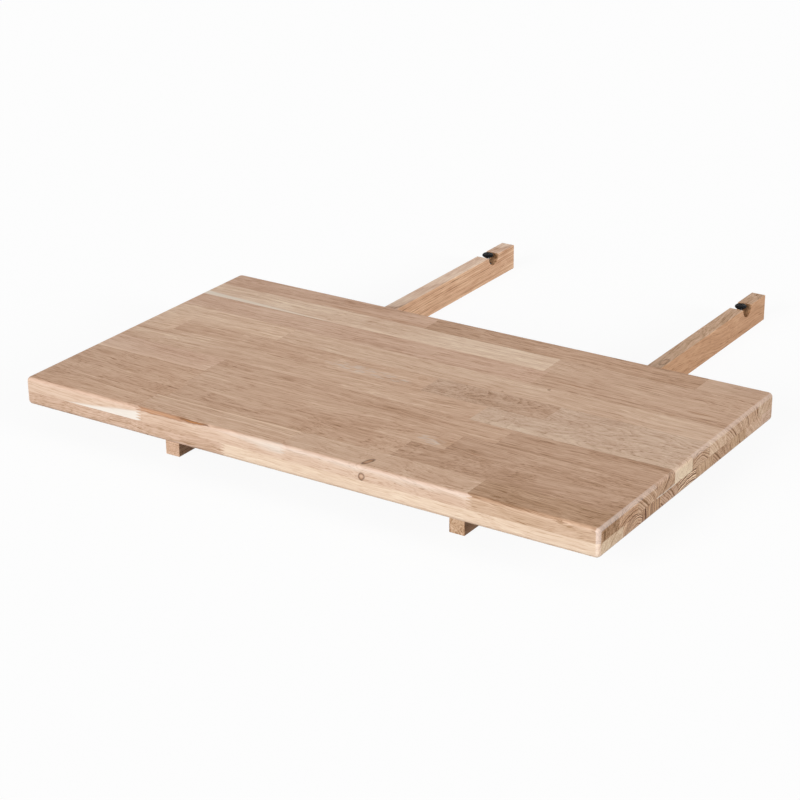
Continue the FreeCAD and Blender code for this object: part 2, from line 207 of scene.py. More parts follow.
# Share of open early wood from a ring's inner side to its outer side, and what moves the rings
RING_PROFILE = ((0.0, 0.10), (0.08, 1.0), (0.30, 0.55), (0.65, 0.05), (1.0, 0.10))
RING_UNEVEN = 2.4
KNOT_PUSH = 1.6
ROUGHNESS = 0.54

# What each stave carries: sets of three numbers, whole vectors, and its knots
KNOTS = ("knot_a", "knot_b")
NUMBER_MARKS = ("lean", "tone", "ends", "sides", "edge_wear_and_light", "depths", "rim", "bed")
VECTOR_MARKS = ("heart", "faces", "sap_from", "sap_way")
KNOT_MARKS = [knot + part for knot in KNOTS for part in ("_at", "_way", "_form")]
print("oak:", len(OAK_SHADES), "shades from pale to dark")

# %% [markdown]
# A knot is a branch that the saw cut through. It is drawn as a rod through the stave that pushes the rings
# aside, and its stain follows the fibres. Laid along the grain, the same rod makes streaks and patches of
# silver grain, so they need no nodes of their own.

# %% Knots and streaks
def knot_stains(put, grain, marks, depths, shake, streaky, fleck):
    """Coats of stain for a stave's knots, and how far the knots push the rings aside."""
    stains = []
    push = 0.0
    for knot, core in zip(KNOTS, "XY"):
        way = marks[knot + "_way"]
        form = put(SPLIT, [marks[knot + "_form"]])
        offset = put(VECTOR, [grain, marks[knot + "_at"]], "SUBTRACT")
        offset = put(VECTOR, [shake, (SHAKE_SIZE,) * 3, offset], "MULTIPLY_ADD")
        run = put(VECTOR, [offset, way], "DOT_PRODUCT")
        axis = put(VECTOR, {0: way, "Scale": run}, "SCALE")
        off_axis = put(VECTOR, [offset, axis], "SUBTRACT")
        off_axis = put(VECTOR, [off_axis], "LENGTH")
        reach = put(MATH, [run, (form, "Z")], "DIVIDE")
        width = put(MATH, [off_axis, (form, "X")], "DIVIDE")
        far = put(VECTOR, [put(JOIN, {"X": reach, "Y": width})], "LENGTH")
        ink = put(MATH, [(form, "Y")], "ABSOLUTE")
        bark = put(RANGE, [far, 0.35, 0.85])
        fill = put(RANGE, [bark, 0.0, 1.0, (depths, core), 1.0])
        silver = put(MATH, [(form, "Y"), 0.0], "LESS_THAN")
        fill = put(MIX, {0: silver, 2: fill, 3: fleck})
        mask = put(RANGE, [far, 1.15, 0.75, 0.0, ink], **SMOOTH)
        for share in (fill, streaky):
            mask = put(MATH, [mask, share], "MULTIPLY")
        dark = put(RANGE, [ink, 0.60, 0.90, 0.0, bark])
        dye = put(MIX, {0: dark, 6: linear(STAIN_BROWN), 7: linear(KNOT_DARK)}, **RGBA)
        dye = put(MIX, {0: silver, 6: dye, 7: linear(SILVER_GRAIN)}, **RGBA)
        stains.append((mask, dye, "MIX"))
        bulge = put(RANGE, [far, 4.5, 0.5, 0.0, (form, "X")], **SMOOTH)
        push = put(MATH, [bulge, ink, push], "MULTIPLY_ADD")
    return stains, push


print("knots:", len(KNOTS), "for each stave")

# %% [markdown]
# Oil and sanding leave their marks by the way a face points, and so does some painted light. End grain
# drinks more oil, so it is darker. Rounded edges are sanded most, so they are paler, and part of that
# paleness is a painted highlight. The long edges also get painted shade, which tones down the light they
# catch. It is the object's own direction, so nothing slides in other views.

# %% Faces, ends and edges
def face_shares(put, facing, edge_wear_and_light):
    """Shares of end grain, of pale sanded edges with a painted highlight, of painted shade on long edges, and
    how squarely a face points along each axis.
    """
    square_on = put(VECTOR, [facing], "ABSOLUTE")
    sides_on = put(SPLIT, [square_on])
    flat = (sides_on, "X")
    for side in "YZ":
        flat = put(MATH, [flat, (sides_on, side)], "MAXIMUM")
    shares = [put(RANGE, [(sides_on, "X"), 0.55, 0.95], **SMOOTH)]
    # Then the sanded paleness of edges, partly a painted highlight, and painted shade on long edges
    for on_long_edge, on_end_edge in (((edge_wear_and_light, "X"), (edge_wear_and_light, "Y")), ((edge_wear_and_light, "Z"), 0.0)):
        most = put(RANGE, [(sides_on, "X"), 0.05, 0.25, on_long_edge, on_end_edge])
        shares.append(put(RANGE, [flat, 0.998, 0.93, 0.0, most], **SMOOTH))
    squared = put(VECTOR, [square_on, square_on], "MULTIPLY")
    return *shares, put(VECTOR, [squared, squared], "MULTIPLY")


# The pale edges here are partly a painted highlight, and the oily edges are painted shade
print("faces: end grain, worn edges and oily edges")

# %% [markdown]
# Each stave carries the place of its log's heart, so growth rings are distances from that line: arches
# where the saw went through flat, straight lines where it went through upright, and arcs on the ends.
# Oak's early wood is a narrow band of open pores at the start of each ring, so each ring has one sharp
# dark side that fades. Pores are short dark dashes along the grain, rays are thin sheets that point at
# the heart, and sapwood is the pale wood outside a line. All of it adds up to one shade, which a ramp
# of oak colours turns into a colour.

# %% Oak, sanded and oiled
# Oiled oak: matt, with a soft sheen, pale beige to brown; pores make it a little rougher and uneven.
def make_oak(name, turn, oil_tint, end_tint, painted_sheen_tint):
    """Oak whose grain runs along X once the object's coordinates are turned about Z.

    The oil tint is on every face and the end tint on end grain. The sheen tint is a painted sheen: a cooler
    tint laid on faces by the way they point, as far as each stave's marks say.
    """
    material, put = new_material(name)
    place = put("ShaderNodeTexCoord")
    grain, facing = [
        put("ShaderNodeMapping", {"Vector": (place, source), "Rotation": (0, 0, turn)}, vector_type=kind)
        for source, kind in (("Object", "POINT"), ("Normal", "NORMAL"))
    ]
    marks = {}
    for mark in (*NUMBER_MARKS, *VECTOR_MARKS, *KNOT_MARKS):
        marks[mark] = (put("ShaderNodeAttribute", attribute_name=mark), "Vector")
    lean, tone, ends, sides, edge_wear_and_light, depths, rim, bed = [put(SPLIT, [marks[mark]]) for mark in NUMBER_MARKS]

    # Place in the log: along the heart, and across from it
    local = put(VECTOR, [grain, marks["heart"]], "SUBTRACT")
    along = put(SPLIT, [local])
    seed = put(VECTOR, [marks["heart"], SEED_SPREAD], "MULTIPLY")

    def pattern(scale, detail, source=local):
        """Noise stretched along the grain, different in each stave."""
        spot = put(VECTOR, [source, scale, seed], "MULTIPLY_ADD")
        return put(NOISE, {"Vector": spot, "Scale": 1.0, "Detail": detail, "Roughness": 0.55})

    def sum_of(*terms):
        """Sum of terms, each a source times its weight. Some sources are counted from a middle value."""
        total = 0.0
        for source, weight, *middle in terms:
            if middle:
                source = put(MATH, [source, *middle], "SUBTRACT")
            total = put(MATH, [source, weight, total], "MULTIPLY_ADD")
        return total

    # The heart leans and wanders through the stave, and the finer figure flows along with it
    wander, shake = [
        put(VECTOR, [(pattern(scale, 2.0), "Color"), MIDDLE], "SUBTRACT") for scale in (WANDER, SHAKE)
    ]
    wild = (tone, "Z")
    wander_size = put(MATH, [wild, WANDER_SIZE], "MULTIPLY")
    wander = put(VECTOR, {0: wander, "Scale": wander_size}, "SCALE")
    slope = put(VECTOR, {0: marks["lean"], "Scale": (along, "X")}, "SCALE")
    across = put(VECTOR, [local, slope], "SUBTRACT")
    across = put(VECTOR, [across, wander], "ADD")
    across = put(VECTOR, [across, (0, 1, 1)], "MULTIPLY")
    flow = put(VECTOR, [local, (1, 0, 0), across], "MULTIPLY_ADD")
    radius = put(VECTOR, [across], "LENGTH")
    from_heart = put(SPLIT, [across])
    angle = put(MATH, [(from_heart, "Z"), (from_heart, "Y")], "ARCTAN2")

    # Knots and their stains, which follow the fibres
    fibre = pattern(FIBRE, 3.0, flow)
    streaky = put(RANGE, [fibre, 0.36, 0.60, 0.65, 1.0])
    fleck = put(RANGE, [pattern(FLECK, 1.0, flow), 0.48, 0.60])
    stains, push = knot_stains(put, grain, marks, depths, shake, streaky, fleck)

    # Growth rings
    ripple_size = put(MATH, [wild, RIPPLE_SIZE], "MULTIPLY")
    radius = put(MATH, [radius, sum_of((pattern(RIPPLE, 2.0), ripple_size, 0.5))], "ADD")
    radius = put(MATH, [push, KNOT_PUSH, radius], "MULTIPLY_ADD")
    ring = put(MATH, [radius, (lean, "X")], "DIVIDE")
    uneven = put(NOISE, {"W": ring, "Scale": 0.41, "Detail": 2.0}, noise_dimensions="1D")
    ring = put(MATH, [uneven, RING_UNEVEN, ring], "MULTIPLY_ADD")
    number = put(MATH, [ring], "FLOOR")
    year = put("ShaderNodeTexWhiteNoise", {"W": number}, noise_dimensions="1D")
    year = put(RANGE, [year, 0.0, 1.0, 0.35, 1.0])
    early = put(RAMP, [put(MATH, [ring], "FRACT")])
    set_ramp(early, [(spot, (level, level, level, 1.0)) for spot, level in RING_PROFILE])
    rings = put(MATH, [early, year], "MULTIPLY")

    # Finer figure
    pores = put(RANGE, [pattern(PORE, 1.0, flow), 0.50, 0.64], **SMOOTH)
    early_pores = put(RANGE, [rings, 0.0, 1.0, 0.35, 1.0])
    pores = put(MATH, [pores, early_pores], "MULTIPLY")
    round_heart = put(JOIN, {"X": (along, "X"), "Y": radius, "Z": angle})
    rays = put(RANGE, [pattern(RAY, 1.0, round_heart), 0.58, 0.74], **SMOOTH)

    # Rings stand out on end grain. Faces get a cooler tint by the way they point, a painted sheen, and long
    # sides are calmer
    end, worn_and_highlit, edge_painted_shade, squarer = face_shares(put, facing, edge_wear_and_light)
    ring_weight = put(MATH, [end, (ends, "Y"), (ends, "Z")], "MULTIPLY_ADD")
    painted_sheen_share = put(VECTOR, [squarer, marks["faces"]], "DOT_PRODUCT")
    squares = put(SPLIT, [squarer])
    calm = put(MATH, [(squares, "Y"), (sides, "Z")], "MULTIPLY")
    contrast = put(MATH, [1.0, calm], "SUBTRACT")
    fine_contrast = put(RANGE, [calm, 0.0, 1.0, 1.0, 0.5])

    # Thin dark glue lines in front of the stave, behind it and between the layers
    row = put(SPLIT, [grain])
    nearest = 1.0
    for here, line in zip("YYZ", "XYZ"):
        off = put(MATH, [(row, here), (bed, line)], "SUBTRACT")
        off = put(MATH, [off], "ABSOLUTE")
        nearest = put(MATH, [nearest, off], "MINIMUM")
    glue = put(RANGE, [nearest, 0.7 * MM, 0.2 * MM])

    # The shade: what the faces have in common, the figure, and the finest lines
    figure = sum_of(
        (rings, ring_weight, 0.28),
        (rays, -0.16, 0.2),
        (pattern(CLOUD, 2.0, flow), 0.42, 0.5),
        (pattern(MOTTLE, 2.0, flow), 0.22, 0.5),
        (pattern(STREAK, 3.0, flow), 0.55, 0.5),
    )
    fine = sum_of((pores, 0.45, 0.24), (fibre, 0.74, 0.5))
    ground = sum_of(
        (glue, 0.10),
        (end, (ends, "X")),
        # painted shade on the long rounded edges, which tones down the light they catch
        (edge_painted_shade, 1.0),
        ((squares, "Y"), (sides, "X")),
        ((squares, "Z"), (sides, "Y")),
        ((tone, "X"), 1.0),
    )
    shade = put(MATH, [figure, contrast, ground], "MULTIPLY_ADD")
    shade = put(MATH, [fine, fine_contrast, shade], "MULTIPLY_ADD")
    palest, darkest = OAK_SHADES[0][0], OAK_SHADES[-1][0]
    colour = put(RAMP, [put(RANGE, [shade, palest, darkest])])
    set_ramp(colour, [((spot - palest) / (darkest - palest), linear(code)) for spot, code in OAK_SHADES])

    # Sapwood past a line, partly a painted sheen where it lies below the front edge, and thin pale edges
    # beside some glue lines
    depth = put(VECTOR, [grain, marks["sap_from"]], "SUBTRACT")
    depth = put(VECTOR, [depth, marks["sap_way"]], "DOT_PRODUCT")
    depth = put(MATH, [depth, sum_of((pattern(STREAK, 2.0, flow), SAP_SIZE, 0.5))], "ADD")
    sap = put(RANGE, [depth, 0.0, SAP_FADE, 0.0, (depths, "Z")], **SMOOTH)
    beside = put(MATH, [(row, "Y"), (rim, "X")], "SUBTRACT")
    beside = put(MATH, [beside], "ABSOLUTE")
    beside = put(MATH, [beside, (rim, "Y")], "DIVIDE")
    pale = put(RANGE, [beside, 1.0, 0.3, 0.0, (rim, "Z")], **SMOOTH)

    # Oils first, then what lies over them. Sapwood keeps a quarter of the oiled colour
    oil = put(MIX, {0: (tone, "Y"), 6: linear(PINK_OIL), 7: linear(STRAW_OIL)}, **RGBA)
    for share, dye in ((1.0, oil), (1.0, linear(oil_tint)), (end, linear(end_tint))):
        colour = put(MIX, {0: share, 6: colour, 7: dye}, blend_type="MULTIPLY", **RGBA)
    sap_colour = put(MIX, {0: 0.25, 6: linear(SAPWOOD), 7: colour}, **RGBA)
    # Over the oil: sapwood, pale glue sides, the cooler painted sheen tint, sanded edges with their painted
    # highlight, and the knots and streaks
    coats = ((sap, sap_colour, "MIX"), (pale, linear(GLUE_SIDE_PALE), "MIX"), (painted_sheen_share, painted_sheen_tint, "MULTIPLY"),
             (worn_and_highlit, linear(SANDED_PALE_AND_HIGHLIGHT), "MIX"), *stains)
    for share, dye, blend in coats:
        colour = put(MIX, {0: share, 6: colour, 7: dye}, blend_type=blend, **RGBA)

    # Open pores and early wood lie a little below the sanded face, and pores are rougher than the rest
    hollow = sum_of((pores, -0.7), (rings, -0.3))
    bump = put("ShaderNodeBump", {"Height": hollow, "Strength": 0.35, "Distance": 0.15 * MM})
    matt = sum_of((ROUGHNESS, 1.0), (pores, 0.18), (fibre, 0.16, 0.5))
    surface = put("ShaderNodeBsdfPrincipled", {
        "Base Color": colour, "Roughness": matt, "Normal": bump, "Specular IOR Level": 0.22,
    })
    put("ShaderNodeOutputMaterial", {"Surface": surface})
    return material


oak_leaf = make_oak("oak_staves_sanded_and_oiled", 0.0, "#FDFFFF", "#FFF6EA", (0.95, 1.056, 1.16, 1.0))
oak_bar = make_oak("oak_bar_planed_and_oiled", -math.pi / 2, "#FFEDE2", "#F1F9FF", (1.12, 1.37, 1.72, 1.0))
print("oak:", len(oak_leaf.node_tree.nodes), "nodes each")

# %% [markdown]
# Each stave row in the CAD model is one node that holds several staves, which meet in zigzag finger joints.
# A row's mesh is copied, its triangles are shared out among the staves, and each stave gets its own marks:
# where its log's heart lay, its tone, its knots. The marks are face attributes that the oak reads.
# A material for each stave would do the same with fifty copies of one tree.

# %% Share a row's triangles out among its staves
LEAF_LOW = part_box("top_stave_row_01")[0]
LEAF_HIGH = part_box("top_stave_row_10")[1]
LEAF_LENGTH = LEAF_HIGH.x - LEAF_LOW.x
FINGER_REACH = 5 * MM
FINGER_HALF_PITCH = 2 * MM
ON_JOINT = 0.02 * MM
SMOOTH_BELOW = math.radians(25)


def zigzag(height):
    """Where the joint's surface lies along X, from its middle, at a height above the layer's foot."""
    turn = (height / FINGER_HALF_PITCH) % 2
    return FINGER_REACH * (1 - 2 * abs(turn - 1))


def stave_of(polygon, joints, foot):
    """Number of the stave that a triangle belongs to, counted from the left."""
    centre = polygon.center
    stave = 0
    for joint in joints:
        past = centre.x - joint - zigzag(centre.z - foot)
        if past > ON_JOINT or (past > -ON_JOINT and polygon.normal.x < 0):
            stave += 1
    return stave


def copy_node(piece_name, node, owner_of, marks):
    """Merged copy of a node's mesh whose faces carry the marks of the stave that owns them."""
    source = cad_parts[node].data
    points, numbers, faces, owners = [], {}, [], []
    for polygon in source.polygons:
        owner = owner_of(polygon)
        corners = []
        for index in polygon.vertices:
            place = source.vertices[index].co
            key = (owner, *(round(c, 7) for c in place))
            if key not in numbers:
                numbers[key] = len(points)
                points.append(place.copy())
            corners.append(numbers[key])
        if len(set(corners)) == len(corners):
            faces.append(corners)
            owners.append(owner)
    mesh = bpy.data.meshes.new(piece_name)
    mesh.from_pydata(points, [], faces)
    mesh.shade_smooth()
    mesh.set_sharp_from_angle(angle=SMOOTH_BELOW)
    for mark in marks[0]:
        attribute = mesh.attributes.new(mark, "FLOAT_VECTOR", "FACE")
        attribute.data.foreach_set("vector", [c for owner in owners for c in marks[owner][mark]])
    return new_object(piece_name, mesh)


print("top layer from", [round(c, 3) for c in LEAF_LOW], "to", [round(c, 3) for c in LEAF_HIGH])

# %% [markdown]
# A stave's marks start from how it was sawn. The figure says where the heart lay, seen from the stave's
# middle: below it for arches, beside it for straight lines, and off a corner for the lines between.
# A seeded draw moves the heart a little, so that no two staves are the same.

# %% Marks of one stave
FIGURES = {
    # heart across and above the stave's middle (mm), lean across and up per length, wildness
    "rift": (70, -75, 0.025, 0.010, 0.6),
    "quarter": (110, -12, 0.030, 0.004, 0.5),
    "flat": (6, -42, 0.020, 0.070, 0.9),
    "flame": (-8, -26, 0.040, 0.150, 1.1),
    "wavy": (85, -30, 0.060, 0.020, 1.0),
    "slant": (60, -60, 0.100, 0.060, 0.9),
    "slab": (4, -95, 0.015, 0.030, 1.3),
    "bar": (10, -150, 0.010, 0.012, 0.2),
}
FAR_OFF = (0.0, 0.0, -9.0)
FAR_DOWN = (0.0, 0.0, -1.0)
draw = random.Random(20)


def knot_marks(name, at=FAR_OFF, way=(1.0, 0.0, 0.0), radius=4.0, ink=0.0, reach=30.0, core=1.0):
    """Marks of a knot or streak: its middle, the way it runs, and its radius, ink and half length.

    Little ink is a brown stain, much is a dark knot, and ink below 0 is silver grain. How full its core is
    goes into the stave's depths.
    """
    return {
        name + "_at": tuple(at),
        name + "_way": tuple(Vector(way).normalized()),
        name + "_form": (radius * MM, ink, reach * MM),
    }


# The edge marks give the sanded paleness of long and end edges, partly a painted highlight, and painted shade
# on long edges
def stave_marks(middle, tone, figure="rift", straw=0.3, ring=4.0, rings=0.12, end=0.05, end_rings=0.45,
                faces=(0.8, 1.0, 0.0), sides=(0.0, 0.0, 0.5), edge_wear_and_light=(0.06, 0.28, 0.12),
                sap=(FAR_OFF, FAR_DOWN), sap_depth=1.0, rim=(9.0, MM, 0.0), bed=(9.0, 9.0, 9.0), knots=(),
                turn=None):
    """All the marks of one stave. Places are in metres, in the coordinates that the grain runs along."""
    across, up, lean_y, lean_z, wild = FIGURES[figure]
    side = draw.choice((-1, 1)) if turn is None else turn
    tip = draw.choice((-1, 1))
    spread = draw.uniform(0.8, 1.25)
    heart = (
        middle.x + draw.uniform(-60, 60) * MM,
        middle.y + side * (across * spread + draw.uniform(-6, 6)) * MM,
        middle.z + up * spread * MM,
    )
    marks = dict(
        heart=heart, lean=(ring * draw.uniform(0.85, 1.15) * MM, side * lean_y, tip * lean_z),
        tone=(tone, straw, wild), ends=(end, end_rings, rings), faces=faces, sides=sides, edge_wear_and_light=edge_wear_and_light,
        sap_from=sap[0], sap_way=sap[1], rim=rim, bed=bed,
    )
    knots = (*knots, {}, {})[:len(KNOTS)]
    for name, knot in zip(KNOTS, knots):
        marks.update(knot_marks(name, **knot))
    marks["depths"] = (*(knot.get("core", 1.0) for knot in knots), sap_depth)
    return marks


def on_leaf(x, y, z=0.0):
    """Point measured in millimetres from the leaf's front left corner, on its top."""
    return (LEAF_LOW.x + x * MM, LEAF_LOW.y + y * MM, LEAF_HIGH.z + z * MM)


def across_leaf(y):
    return LEAF_LOW.y + y * MM


print("figures:", ", ".join(FIGURES))

# %% [markdown]
# The top layer is the face that people see, so its staves follow the photograph one by one: where each
# ends, how pale it is, and its own features. The list reads from the front row to the back, left to
# right. Each entry is the share of the leaf's length where the stave ends, its tone from pale to dark,
# and whatever sets it apart.

# %% Staves of the top layer
EDGE_KNOT = dict(at=on_leaf(559, 17), way=(0.37, 0.93, 0), radius=4.6, ink=0.95, reach=11, core=0.75)
FRONT_EYE = dict(at=on_leaf(560, 0, -14), way=(0, 1, 0.3), radius=5.4, ink=0.95, core=0.3)
SCAR = dict(at=on_leaf(592, 117), way=(1, -0.2, 0), radius=10, ink=-0.7, reach=24)
SCAR_SHADE = dict(at=on_leaf(618, 118), way=(1, -0.2, 0), radius=11, ink=0.26, reach=22)
SCAR_DASH = dict(at=on_leaf(662, 108), radius=1.5, ink=0.55, reach=9)
PIN_KNOTS = (
    dict(at=on_leaf(637, 345), way=(0, 0, 1), radius=2.4, ink=0.85),
    dict(at=on_leaf(586, 306), way=(0, 0, 1), radius=1.8, ink=0.8),
)
DARK_DASHES = (
    dict(at=on_leaf(655, 375), radius=1.4, ink=0.55, reach=32),
    dict(at=on_leaf(845, 378), radius=1.6, ink=0.65, reach=18),
)
SILVER_FLECKS = dict(at=on_leaf(392, 268), way=(1, -0.05, 0), radius=13, ink=-0.65, reach=72)
SWIRL = dict(at=on_leaf(470, 288), way=(0, 0, 1), radius=7, ink=0.3, core=0.0)
BROWN_STREAK = dict(at=on_leaf(232, 1.7, -2.0), radius=3.7, ink=0.74, reach=84)
DARK_TIP = dict(at=on_leaf(292, 1.9, -1.6), radius=1.8, ink=0.88, reach=28)
BACK_STREAK = dict(at=on_leaf(275, 457), radius=3.5, ink=0.28, reach=105)
LOW_SAPWOOD = (on_leaf(54, 0, -20), (0.110, 0.0, -1.0))
# These two put a pale band just below the top front edge of two front staves, partly a painted sheen along
# that edge
EDGE_SAPWOOD_AND_SHEEN = (on_leaf(0, 4, 0), (0.0, -1.0, 0.33))
LATE_SAPWOOD_AND_SHEEN = (on_leaf(318, 3, 0), (0.03, -1.0, 0.4))
STREAK_SAPWOOD = (on_leaf(0, 416), (-0.056, -1.0, 0.0))
JOINT_LINE = (on_leaf(0, 0, -17.8), (0.0, 0.0, -2.0))
# Weights of the cooler painted sheen tint on ends, long sides and top
COOL_TOP = (0.8, 1.0, 0.3)

TOP_ROWS = (
    (
        (0.222, 0.52, dict(sap=LOW_SAPWOOD, sap_depth=0.88, sides=(-0.12, 0.0, 0.5), edge_wear_and_light=(0.16, 0.1, 0.12))),
        (0.487, 0.44, dict(rim=(across_leaf(47.5), 2.4 * MM, 0.55), knots=(BROWN_STREAK, DARK_TIP),
                           sap=LATE_SAPWOOD_AND_SHEEN, sap_depth=0.55, sides=(-0.02, 0.0, 0.5),
                           edge_wear_and_light=(0.16, 0.0, 0.16))),
        (0.798, 0.42, dict(figure="flat", knots=(EDGE_KNOT, FRONT_EYE), sap=EDGE_SAPWOOD_AND_SHEEN, sap_depth=0.4,
                           sides=(0.03, 0.0, 0.5), edge_wear_and_light=(0.24, 0.28, 0.12))),
        (1.0, 0.73, dict(figure="quarter", straw=0.45, end=0.22, sides=(-0.18, 0.0, 0.5),
                         edge_wear_and_light=(0.06, 0.45, 0.08))),
    ),
    (
        (0.237, 0.53, dict(figure="wavy")),
        (0.640, 0.55, dict(figure="flat", rings=0.10)),
        (1.0, 0.68, dict(figure="flat", ring=1.9, end=0.12, end_rings=1.6, faces=(0.2, 1.0, 0.0),
                         edge_wear_and_light=(0.0, 0.42, 0.12))),
    ),
    (
        (0.227, 0.54, dict(figure="wavy")),
        (0.695, 0.48, dict(knots=(SCAR, SCAR_SHADE))),
        (1.0, 0.62, dict(knots=(SCAR_DASH,), end=0.0, end_rings=0.9, edge_wear_and_light=(0.0, 0.32, 0.12))),
    ),
    (
        (0.224, 0.39, dict(rim=(across_leaf(152.5), 5 * MM, 0.25), straw=0.15)),
        (0.747, 0.54, dict()),
        (1.0, 0.63, dict(end=0.10, end_rings=0.7, sap=JOINT_LINE, edge_wear_and_light=(0.0, 0.12, 0.12))),
    ),
    (
        (0.669, 0.43, dict(figure="quarter")),
        (1.0, 0.43, dict(figure="flame", ring=2.8, rings=0.26, end=-0.37, end_rings=0.05,
                         rim=(across_leaf(206), 9 * MM, 0.3), faces=COOL_TOP, edge_wear_and_light=(0.0, 0.1, 0.12))),
    ),
    (
        (0.071, 0.32, dict()),
        (0.549, 0.47, dict(figure="quarter", knots=(SILVER_FLECKS, SWIRL))),
        (0.763, 0.56, dict(figure="flame", ring=3.6, rings=0.19, faces=COOL_TOP)),
        (1.0, 0.43, dict(figure="flame", ring=2.6, rings=0.26, end=0.24, end_rings=0.9, faces=COOL_TOP)),
    ),
    (
        (0.243, 0.32, dict(rim=(across_leaf(302.5), 6 * MM, 0.25))),
        (1.0, 0.35, dict(knots=PIN_KNOTS, end=0.0)),
    ),
    (
        (0.678, 0.48, dict(straw=0.15)),
        (1.0, 0.51, dict(knots=DARK_DASHES, end_rings=0.9)),
    ),
    (
        (0.669, 0.25, dict(sap=STREAK_SAPWOOD, rim=(across_leaf(402.5), 3 * MM, 0.3),
                           faces=(0.8, 1.0, 0.15))),
        (1.0, 0.485, dict(figure="wavy", ring=4.6, rings=0.28, end=0.15, end_rings=0.6, turn=-1)),
    ),
    (
        (0.416, 0.53, dict(knots=(BACK_STREAK,), straw=0.15)),
        (0.900, 0.65, dict()),
        (1.0, 0.46, dict(ring=2.2, end_rings=0.7, faces=(1.0, 1.0, 0.0))),
    ),
)
print("top layer:", sum(len(row) for row in TOP_ROWS), "staves in", len(TOP_ROWS), "rows")

# %% [markdown]
# The bottom layer shows along the edges and from below. Its front row follows the photograph, and so do
# the striped blocks on the right-hand end. The rest is drawn: a spread of tones and figures as in any
# glued panel.

# %% Staves of the bottom layer
BOTTOM_JOINTS = (
    (0.378,), (0.210, 0.620), (0.455,), (0.300, 0.790), (0.560,),
    (0.175, 0.690), (0.420,), (0.255, 0.735), (0.510,), (0.330, 0.840),
)
BOTTOM_LOOKS = {
    (0, 0): dict(tone=0.58, straw=0.2, figure="slant", ring=2.4, rings=0.45),
    (0, 1): dict(tone=0.25, straw=0.45, end=0.08, faces=(1.0, 1.0, 0.0)),
    (1, 2): dict(tone=0.60, end=0.13, end_rings=2.2, figure="flat", ring=1.9, faces=(0.2, 1.0, 0.0)),
    (2, 1): dict(tone=0.62, end=0.92, end_rings=4.8, figure="quarter", ring=2.8, faces=(0.0, 1.0, 0.0)),
    (3, 2): dict(tone=0.55, end=0.15, end_rings=0.8),
    (4, 1): dict(tone=0.55, end=0.64, end_rings=5.5, figure="slab", ring=3.3, faces=(0.0, 1.0, 0.0)),
    (5, 2): dict(tone=0.62, end=0.10, end_rings=0.6),
    (6, 1): dict(tone=0.60, end=0.10, end_rings=0.8),
    (7, 2): dict(tone=0.60, end=0.10, end_rings=0.6),
    (9, 2): dict(tone=0.46, straw=0.0, end=0.0, ring=2.4, end_rings=0.6, faces=(1.0, 1.0, 0.0)),
}


BOTTOM_ROWS = []
for row, joints in enumerate(BOTTOM_JOINTS):
    staves = []
    for stave, share in enumerate((*joints, 1.0)):
        look = dict(
            tone=draw.uniform(0.42, 0.62), straw=draw.uniform(0.1, 0.6),
            figure=draw.choice(("rift", "rift", "quarter", "flat", "wavy")),
        )
        look.update(BOTTOM_LOOKS.get((row, stave), {}))
        staves.append((share, look.pop("tone"), look))
    BOTTOM_ROWS.append(staves)
print("bottom layer:", sum(len(row) for row in BOTTOM_ROWS), "staves")

# %% [markdown]
# Now each row is built. Its copy rides on the leaf and stands in for the CAD node, which stays where it
# is and is hidden. The glue lines come from the row's own box, so they lie where the staves really meet.

# %% Build the stave rows
def build_layer(layer, rows):
    for number, staves in enumerate(rows, start=1):
        node = f"{layer}_stave_row_{number:02d}"
        low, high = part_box(node)
        bed = (low.y, high.y, low.z if layer == "top" else high.z)
        ends = [LEAF_LOW.x + share * LEAF_LENGTH for share, tone, look in staves]
        marks = []
        start = LEAF_LOW.x
        for end, (share, tone, look) in zip(ends, staves):
            middle = Vector(((start + end) / 2, (low.y + high.y) / 2, (low.z + high.z) / 2))
            marks.append(stave_marks(middle, tone, bed=bed, **look))
            start = end
        piece = copy_node(f"{layer}_row_{number:02d}_staves", node,
                          lambda polygon: stave_of(polygon, ends[:-1], low.z), marks)
        piece.data.materials.append(oak_leaf)
        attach(piece, "leaf")
        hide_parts(node)
        print(piece.name, len(piece.data.polygons), "faces,", len(staves), "staves")


build_layer("top", TOP_ROWS)
build_layer("bottom", BOTTOM_ROWS)

# %% [markdown]
# The bars are sawn from single lengths of oak, planed and oiled. Their grain runs along the bar, so the
# oak is turned a quarter about Z, and the marks are given in those turned coordinates. The right bar has
# a small knot where it comes out from under the leaf.

# %% Support bars
def on_bar(point):
    """A point in the turned coordinates of the bars' oak."""
    return Vector((point.y, -point.x, point.z))


BAR_EASE = 1.05 * MM
BAR_KNOT = dict(at=on_bar(Vector((231, 136, 41)) * MM), radius=6, ink=0.82, reach=15, core=0.1)
BAR_LOOKS = {
    "left": dict(tone=0.36, straw=0.65, figure="bar", rings=0.75, ring=2.6, end=0.29, end_rings=-0.5,
                 faces=(0.7, 0.10, 1.0), sides=(0.0, 0.11, 0.0)),
    "right": dict(tone=0.52, straw=0.9, figure="flat", end=0.23, end_rings=0.1,
                  faces=(0.8, 0.12, 1.0), sides=(0.08, 0.20, 0.3), knots=(BAR_KNOT,)),
}
# Drilled faces in notches and holes are darker: partly their cut grain, partly painted shade inside the notch
DRILLED_AND_SHADED_DARKER = 0.10
FACES_UP = 0.3


def cut_of(polygon, low, high):
    """0 for a face that was planed, 1 for one inside a notch or a hole, which was drilled."""
    near = [min(here - a, b - here) < BAR_EASE for here, a, b in zip(polygon.center, low, high)]
    planed = near[0] or near[1] or (near[2] and abs(polygon.normal.z) > FACES_UP)
    return 0 if planed else 1


